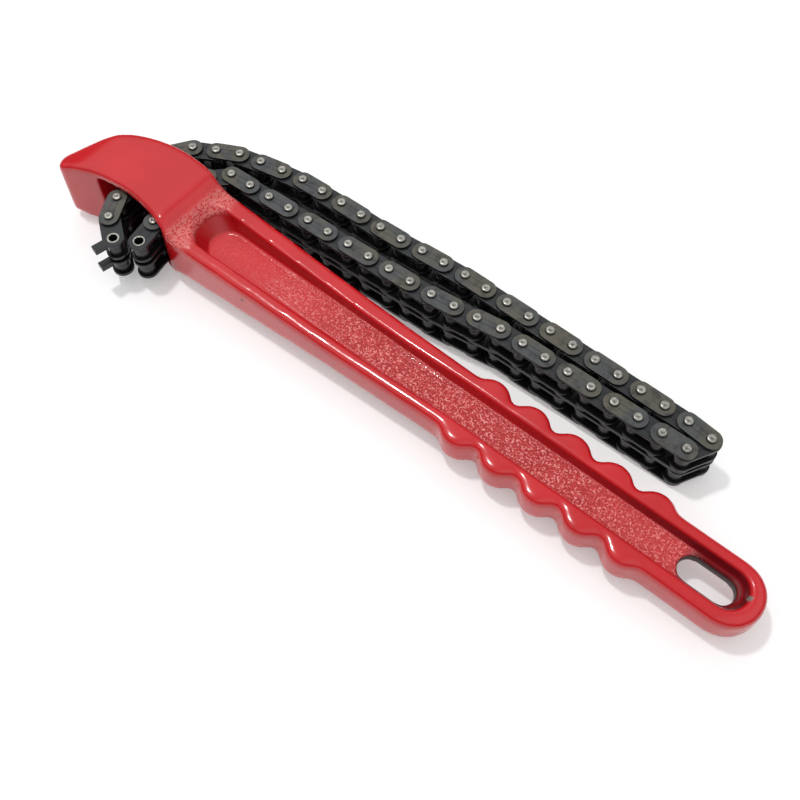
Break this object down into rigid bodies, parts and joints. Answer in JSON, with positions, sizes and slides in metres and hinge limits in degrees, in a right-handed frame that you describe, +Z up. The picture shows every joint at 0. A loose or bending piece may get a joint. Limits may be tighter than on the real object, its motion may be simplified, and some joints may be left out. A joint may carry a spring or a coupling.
{
  "type": "chain wrench",
  "caption": "Oil filter chain wrench: red cast handle with a hollow head, finger bumps and a hanging slot, and a long folded duplex roller chain threaded through the head.",
  "frame": {"origin": "on the head's flat underside, on the handle's axis, beside the hollow in the head", "axes": "+X along the handle towards the hanging slot, +Y towards the side where the folded chain lies, +Z up out of the head's flat top, along the chain pins"},
  "size_m": [0.3042, 0.0823, 0.031],
  "materials": {
    "red_paint": "gloss",
    "chain_steel": "dark oxide, oiled"
  },
  "bodies": {
    "handle": {"handle": "red_paint"},
    "lug_end_link": {"lug_end_link": "chain_steel"},
    "pin_link_01": {"pin_link_01": "chain_steel"},
    "roller_link_02": {"roller_link_02": "chain_steel"},
    "pin_link_03": {"pin_link_03": "chain_steel"},
    "roller_link_04": {"roller_link_04": "chain_steel"},
    "pin_link_05": {"pin_link_05": "chain_steel"},
    "roller_link_06": {"roller_link_06": "chain_steel"},
    "pin_link_07": {"pin_link_07": "chain_steel"},
    "roller_link_08": {"roller_link_08": "chain_steel"},
    "pin_link_09": {"pin_link_09": "chain_steel"},
    "roller_link_10": {"roller_link_10": "chain_steel"},
    "pin_link_11": {"pin_link_11": "chain_steel"},
    "roller_link_12": {"roller_link_12": "chain_steel"},
    "pin_link_13": {"pin_link_13": "chain_steel"},
    "roller_link_14": {"roller_link_14": "chain_steel"},
    "pin_link_15": {"pin_link_15": "chain_steel"},
    "roller_link_16": {"roller_link_16": "chain_steel"},
    "pin_link_17": {"pin_link_17": "chain_steel"},
    "roller_link_18": {"roller_link_18": "chain_steel"},
    "pin_link_19": {"pin_link_19": "chain_steel"},
    "roller_link_20": {"roller_link_20": "chain_steel"},
    "pin_link_21": {"pin_link_21": "chain_steel"},
    "roller_link_22": {"roller_link_22": "chain_steel"},
    "pin_link_23": {"pin_link_23": "chain_steel"},
    "roller_link_24": {"roller_link_24": "chain_steel"},
    "pin_link_25": {"pin_link_25": "chain_steel"},
    "roller_link_26": {"roller_link_26": "chain_steel"},
    "pin_link_27": {"pin_link_27": "chain_steel"},
    "roller_link_28": {"roller_link_28": "chain_steel"},
    "pin_link_29": {"pin_link_29": "chain_steel"},
    "fold_link": {"fold_link": "chain_steel"},
    "pin_link_31": {"pin_link_31": "chain_steel"},
    "roller_link_32": {"roller_link_32": "chain_steel"},
    "pin_link_33": {"pin_link_33": "chain_steel"},
    "roller_link_34": {"roller_link_34": "chain_steel"},
    "pin_link_35": {"pin_link_35": "chain_steel"},
    "roller_link_36": {"roller_link_36": "chain_steel"},
    "pin_link_37": {"pin_link_37": "chain_steel"},
    "roller_link_38": {"roller_link_38": "chain_steel"},
    "pin_link_39": {"pin_link_39": "chain_steel"},
    "roller_link_40": {"roller_link_40": "chain_steel"},
    "pin_link_41": {"pin_link_41": "chain_steel"},
    "roller_link_42": {"roller_link_42": "chain_steel"},
    "pin_link_43": {"pin_link_43": "chain_steel"},
    "roller_link_44": {"roller_link_44": "chain_steel"},
    "pin_link_45": {"pin_link_45": "chain_steel"},
    "roller_link_46": {"roller_link_46": "chain_steel"},
    "pin_link_47": {"pin_link_47": "chain_steel"},
    "roller_link_48": {"roller_link_48": "chain_steel"},
    "pin_link_49": {"pin_link_49": "chain_steel"},
    "roller_link_50": {"roller_link_50": "chain_steel"},
    "pin_link_51": {"pin_link_51": "chain_steel"},
    "roller_link_52": {"roller_link_52": "chain_steel"},
    "pin_link_53": {"pin_link_53": "chain_steel"},
    "roller_link_54": {"roller_link_54": "chain_steel"},
    "pin_link_55": {"pin_link_55": "chain_steel"},
    "plain_end_link": {"plain_end_link": "chain_steel"}
  },
  "joints": [
    {"name": "loop_draw", "type": "slide", "parent": "handle", "child": "pin_link_03", "axis": [0, 1, 0], "range_m": [0, 0.008]},
    {"name": "return_draw", "type": "slide", "parent": "handle", "child": "roller_link_54", "axis": [0, 1, 0], "range_m": [0, 0.008]},
    {"name": "pin_03_hinge", "type": "hinge", "parent": "pin_link_03", "child": "roller_link_02", "pos_m": [-0.01447, -0.00582, 0.0155], "axis": [0, 0, -1], "range_deg": [0, 12]},
    {"name": "pin_02_hinge", "type": "hinge", "parent": "roller_link_02", "child": "pin_link_01", "pos_m": [-0.01414, -0.01534, 0.0155], "axis": [0, 0, -1], "range_deg": [0, 20]},
    {"name": "pin_01_hinge", "type": "hinge", "parent": "pin_link_01", "child": "lug_end_link", "pos_m": [-0.00966, -0.02375, 0.0155], "axis": [0, 0, -1], "range_deg": [0, 30]},
    {"name": "pin_55_hinge", "type": "hinge", "parent": "roller_link_54", "child": "pin_link_55", "pos_m": [0.00491, -0.00507, 0.0155], "axis": [0, 0, -1], "range_deg": [-3, 0]},
    {"name": "pin_56_hinge", "type": "hinge", "parent": "pin_link_55", "child": "plain_end_link", "pos_m": [0.00491, -0.0146, 0.0155], "axis": [0, 0, -1], "range_deg": [-10, 8]},
    {"name": "pin_04_hinge", "type": "hinge", "parent": "pin_link_03", "child": "roller_link_04", "pos_m": [-0.0148, 0.0037, 0.0155], "axis": [0, 0, 1], "range_deg": [0, 12]},
    {"name": "pin_54_hinge", "type": "hinge", "parent": "roller_link_54", "child": "pin_link_53", "pos_m": [0.00491, 0.00445, 0.0155], "axis": [0, 0, 1], "range_deg": [0, 10.56]},
    {"name": "pin_05_hinge", "type": "hinge", "parent": "roller_link_04", "child": "pin_link_05", "pos_m": [-0.01513, 0.01322, 0.0155], "axis": [0, 0, -1], "range_deg": [-6, 0]},
    {"name": "pin_06_hinge", "type": "hinge", "parent": "pin_link_05", "child": "roller_link_06", "pos_m": [-0.00981, 0.02112, 0.0155], "axis": [0, 0, -1], "range_deg": [-6, 0]},
    {"name": "pin_53_hinge", "type": "hinge", "parent": "pin_link_53", "child": "roller_link_52", "pos_m": [0.00491, 0.01398, 0.0155], "axis": [0, 0, -1], "range_deg": [-10.56, 0]},
    {"name": "pin_07_hinge", "type": "hinge", "parent": "roller_link_06", "child": "pin_link_07", "pos_m": [-0.00156, 0.02588, 0.0155], "axis": [0, 0, 1], "range_deg": [0, 6]},
    {"name": "pin_08_hinge", "type": "hinge", "parent": "pin_link_07", "child": "roller_link_08", "pos_m": [0.00685, 0.03035, 0.0155], "axis": [0, 0, 1], "range_deg": [0, 6]},
    {"name": "pin_52_hinge", "type": "hinge", "parent": "roller_link_52", "child": "pin_link_51", "pos_m": [0.01153, 0.02083, 0.0155], "axis": [0, 0, 1], "range_deg": [0, 10.56]},
    {"name": "pin_09_hinge", "type": "hinge", "parent": "roller_link_08", "child": "pin_link_09", "pos_m": [0.01609, 0.03265, 0.0155], "axis": [0, 0, -1], "range_deg": [-12, 0]},
    {"name": "pin_51_hinge", "type": "hinge", "parent": "pin_link_51", "child": "roller_link_50", "pos_m": [0.02104, 0.02133, 0.0155], "axis": [0, 0, -1], "range_deg": [-10.56, 0]},
    {"name": "pin_10_hinge", "type": "hinge", "parent": "pin_link_09", "child": "roller_link_10", "pos_m": [0.02541, 0.03463, 0.0155], "axis": [0, 0, 1], "range_deg": [0, 12]},
    {"name": "pin_50_hinge", "type": "hinge", "parent": "roller_link_50", "child": "pin_link_49", "pos_m": [0.03055, 0.02182, 0.0155], "axis": [0, 0, 1], "range_deg": [0, 10.56]},
    {"name": "pin_11_hinge", "type": "hinge", "parent": "roller_link_10", "child": "pin_link_11", "pos_m": [0.03479, 0.03629, 0.0155], "axis": [0, 0, -1], "range_deg": [-12, 0]},
    {"name": "pin_49_hinge", "type": "hinge", "parent": "pin_link_49", "child": "roller_link_48", "pos_m": [0.04006, 0.02232, 0.0155], "axis": [0, 0, -1], "range_deg": [-10.56, 0]},
    {"name": "pin_12_hinge", "type": "hinge", "parent": "pin_link_11", "child": "roller_link_12", "pos_m": [0.0443, 0.03679, 0.0155], "axis": [0, 0, 1], "range_deg": [0, 12]},
    {"name": "pin_48_hinge", "type": "hinge", "parent": "roller_link_48", "child": "pin_link_47", "pos_m": [0.04958, 0.02282, 0.0155], "axis": [0, 0, 1], "range_deg": [0, 10.56]},
    {"name": "pin_13_hinge", "type": "hinge", "parent": "roller_link_12", "child": "pin_link_13", "pos_m": [0.05382, 0.03717, 0.0155], "axis": [0, 0, -1], "range_deg": [-12, 0]},
    {"name": "pin_47_hinge", "type": "hinge", "parent": "pin_link_47", "child": "roller_link_46", "pos_m": [0.05909, 0.02332, 0.0155], "axis": [0, 0, -1], "range_deg": [-10.56, 0]},
    {"name": "pin_14_hinge", "type": "hinge", "parent": "pin_link_13", "child": "roller_link_14", "pos_m": [0.06334, 0.03745, 0.0155], "axis": [0, 0, 1], "range_deg": [0, 12]},
    {"name": "pin_46_hinge", "type": "hinge", "parent": "roller_link_46", "child": "pin_link_45", "pos_m": [0.0686, 0.02382, 0.0155], "axis": [0, 0, 1], "range_deg": [0, 10.56]},
    {"name": "pin_15_hinge", "type": "hinge", "parent": "roller_link_14", "child": "pin_link_15", "pos_m": [0.07287, 0.03762, 0.0155], "axis": [0, 0, -1], "range_deg": [-12, 0]},
    {"name": "pin_45_hinge", "type": "hinge", "parent": "pin_link_45", "child": "roller_link_44", "pos_m": [0.07811, 0.02432, 0.0155], "axis": [0, 0, -1], "range_deg": [-10.56, 0]},
    {"name": "pin_16_hinge", "type": "hinge", "parent": "pin_link_15", "child": "roller_link_16", "pos_m": [0.08238, 0.03812, 0.0155], "axis": [0, 0, 1], "range_deg": [0, 12]},
    {"name": "pin_44_hinge", "type": "hinge", "parent": "roller_link_44", "child": "pin_link_43", "pos_m": [0.08762, 0.02482, 0.0155], "axis": [0, 0, 1], "range_deg": [0, 10.56]},
    {"name": "pin_17_hinge", "type": "hinge", "parent": "roller_link_16", "child": "pin_link_17", "pos_m": [0.09187, 0.03895, 0.0155], "axis": [0, 0, -1], "range_deg": [-12, 0]},
    {"name": "pin_43_hinge", "type": "hinge", "parent": "pin_link_43", "child": "roller_link_42", "pos_m": [0.09714, 0.02531, 0.0155], "axis": [0, 0, -1], "range_deg": [-10.56, 0]},
    {"name": "pin_18_hinge", "type": "hinge", "parent": "pin_link_17", "child": "roller_link_18", "pos_m": [0.10136, 0.03969, 0.0155], "axis": [0, 0, 1], "range_deg": [0, 12]},
    {"name": "pin_42_hinge", "type": "hinge", "parent": "roller_link_42", "child": "pin_link_41", "pos_m": [0.10665, 0.02581, 0.0155], "axis": [0, 0, 1], "range_deg": [0, 10.56]},
    {"name": "pin_19_hinge", "type": "hinge", "parent": "roller_link_18", "child": "pin_link_19", "pos_m": [0.11086, 0.04036, 0.0155], "axis": [0, 0, -1], "range_deg": [-12, 0]},
    {"name": "pin_41_hinge", "type": "hinge", "parent": "pin_link_41", "child": "roller_link_40", "pos_m": [0.1161, 0.02697, 0.0155], "axis": [0, 0, -1], "range_deg": [-10.56, 0]},
    {"name": "pin_20_hinge", "type": "hinge", "parent": "pin_link_19", "child": "roller_link_20", "pos_m": [0.12039, 0.04036, 0.0155], "axis": [0, 0, 1], "range_deg": [0, 12]},
    {"name": "pin_40_hinge", "type": "hinge", "parent": "roller_link_40", "child": "pin_link_39", "pos_m": [0.12553, 0.0283, 0.0155], "axis": [0, 0, 1], "range_deg": [0, 10.56]},
    {"name": "pin_21_hinge", "type": "hinge", "parent": "roller_link_20", "child": "pin_link_21", "pos_m": [0.12991, 0.04036, 0.0155], "axis": [0, 0, -1], "range_deg": [-12, 0]},
    {"name": "pin_39_hinge", "type": "hinge", "parent": "pin_link_39", "child": "roller_link_38", "pos_m": [0.13494, 0.02979, 0.0155], "axis": [0, 0, -1], "range_deg": [-10.56, 0]},
    {"name": "pin_22_hinge", "type": "hinge", "parent": "pin_link_21", "child": "roller_link_22", "pos_m": [0.13944, 0.04036, 0.0155], "axis": [0, 0, 1], "range_deg": [0, 12]},
    {"name": "pin_38_hinge", "type": "hinge", "parent": "roller_link_38", "child": "pin_link_37", "pos_m": [0.14447, 0.02995, 0.0155], "axis": [0, 0, 1], "range_deg": [0, 10.56]},
    {"name": "pin_23_hinge", "type": "hinge", "parent": "roller_link_22", "child": "pin_link_23", "pos_m": [0.14896, 0.04036, 0.0155], "axis": [0, 0, -1], "range_deg": [-12, 0]},
    {"name": "pin_37_hinge", "type": "hinge", "parent": "pin_link_37", "child": "roller_link_36", "pos_m": [0.15399, 0.03012, 0.0155], "axis": [0, 0, -1], "range_deg": [-10.56, 0]},
    {"name": "pin_24_hinge", "type": "hinge", "parent": "pin_link_23", "child": "roller_link_24", "pos_m": [0.15849, 0.04036, 0.0155], "axis": [0, 0, 1], "range_deg": [0, 12]},
    {"name": "pin_36_hinge", "type": "hinge", "parent": "roller_link_36", "child": "pin_link_35", "pos_m": [0.16351, 0.03029, 0.0155], "axis": [0, 0, 1], "range_deg": [0, 10.56]},
    {"name": "pin_25_hinge", "type": "hinge", "parent": "roller_link_24", "child": "pin_link_25", "pos_m": [0.16801, 0.04036, 0.0155], "axis": [0, 0, -1], "range_deg": [-12, 0]},
    {"name": "pin_35_hinge", "type": "hinge", "parent": "pin_link_35", "child": "roller_link_34", "pos_m": [0.17304, 0.03045, 0.0155], "axis": [0, 0, -1], "range_deg": [-10.56, 0]},
    {"name": "pin_26_hinge", "type": "hinge", "parent": "pin_link_25", "child": "roller_link_26", "pos_m": [0.17754, 0.04036, 0.0155], "axis": [0, 0, 1], "range_deg": [0, 12]},
    {"name": "pin_34_hinge", "type": "hinge", "parent": "roller_link_34", "child": "pin_link_33", "pos_m": [0.18256, 0.03062, 0.0155], "axis": [0, 0, 1], "range_deg": [0, 10.56]},
    {"name": "pin_27_hinge", "type": "hinge", "parent": "roller_link_26", "child": "pin_link_27", "pos_m": [0.18706, 0.04036, 0.0155], "axis": [0, 0, -1], "range_deg": [-12, 0]},
    {"name": "pin_33_hinge", "type": "hinge", "parent": "pin_link_33", "child": "roller_link_32", "pos_m": [0.19208, 0.03079, 0.0155], "axis": [0, 0, -1], "range_deg": [-10.56, 0]},
    {"name": "pin_28_hinge", "type": "hinge", "parent": "pin_link_27", "child": "roller_link_28", "pos_m": [0.19659, 0.04036, 0.0155], "axis": [0, 0, 1], "range_deg": [0, 12]},
    {"name": "pin_32_hinge", "type": "hinge", "parent": "roller_link_32", "child": "pin_link_31", "pos_m": [0.20161, 0.03095, 0.0155], "axis": [0, 0, 1], "range_deg": [0, 10.56]},
    {"name": "pin_29_hinge", "type": "hinge", "parent": "roller_link_28", "child": "pin_link_29", "pos_m": [0.20611, 0.04036, 0.0155], "axis": [0, 0, -1], "range_deg": [-12, 0]},
    {"name": "pin_30_hinge", "type": "hinge", "parent": "pin_link_29", "child": "fold_link", "pos_m": [0.2156, 0.03953, 0.0155], "axis": [0, 0, 1], "range_deg": [0, 20]}
  ],
  "couplings": [
    {"joint": "return_draw", "follows": "loop_draw", "ratio": 1},
    {"joint": "pin_54_hinge", "follows": "pin_04_hinge", "ratio": 0.88},
    {"joint": "pin_06_hinge", "follows": "pin_05_hinge", "ratio": 1},
    {"joint": "pin_53_hinge", "follows": "pin_05_hinge", "ratio": 1.76},
    {"joint": "pin_08_hinge", "follows": "pin_07_hinge", "ratio": 1},
    {"joint": "pin_52_hinge", "follows": "pin_07_hinge", "ratio": 1.76},
    {"joint": "pin_51_hinge", "follows": "pin_09_hinge", "ratio": 0.88},
    {"joint": "pin_50_hinge", "follows": "pin_10_hinge", "ratio": 0.88},
    {"joint": "pin_49_hinge", "follows": "pin_11_hinge", "ratio": 0.88},
    {"joint": "pin_48_hinge", "follows": "pin_12_hinge", "ratio": 0.88},
    {"joint": "pin_47_hinge", "follows": "pin_13_hinge", "ratio": 0.88},
    {"joint": "pin_46_hinge", "follows": "pin_14_hinge", "ratio": 0.88},
    {"joint": "pin_45_hinge", "follows": "pin_15_hinge", "ratio": 0.88},
    {"joint": "pin_44_hinge", "follows": "pin_16_hinge", "ratio": 0.88},
    {"joint": "pin_43_hinge", "follows": "pin_17_hinge", "ratio": 0.88},
    {"joint": "pin_42_hinge", "follows": "pin_18_hinge", "ratio": 0.88},
    {"joint": "pin_41_hinge", "follows": "pin_19_hinge", "ratio": 0.88},
    {"joint": "pin_40_hinge", "follows": "pin_20_hinge", "ratio": 0.88},
    {"joint": "pin_39_hinge", "follows": "pin_21_hinge", "ratio": 0.88},
    {"joint": "pin_38_hinge", "follows": "pin_22_hinge", "ratio": 0.88},
    {"joint": "pin_37_hinge", "follows": "pin_23_hinge", "ratio": 0.88},
    {"joint": "pin_36_hinge", "follows": "pin_24_hinge", "ratio": 0.88},
    {"joint": "pin_35_hinge", "follows": "pin_25_hinge", "ratio": 0.88},
    {"joint": "pin_34_hinge", "follows": "pin_26_hinge", "ratio": 0.88},
    {"joint": "pin_33_hinge", "follows": "pin_27_hinge", "ratio": 0.88},
    {"joint": "pin_32_hinge", "follows": "pin_28_hinge", "ratio": 0.88}
  ]
}
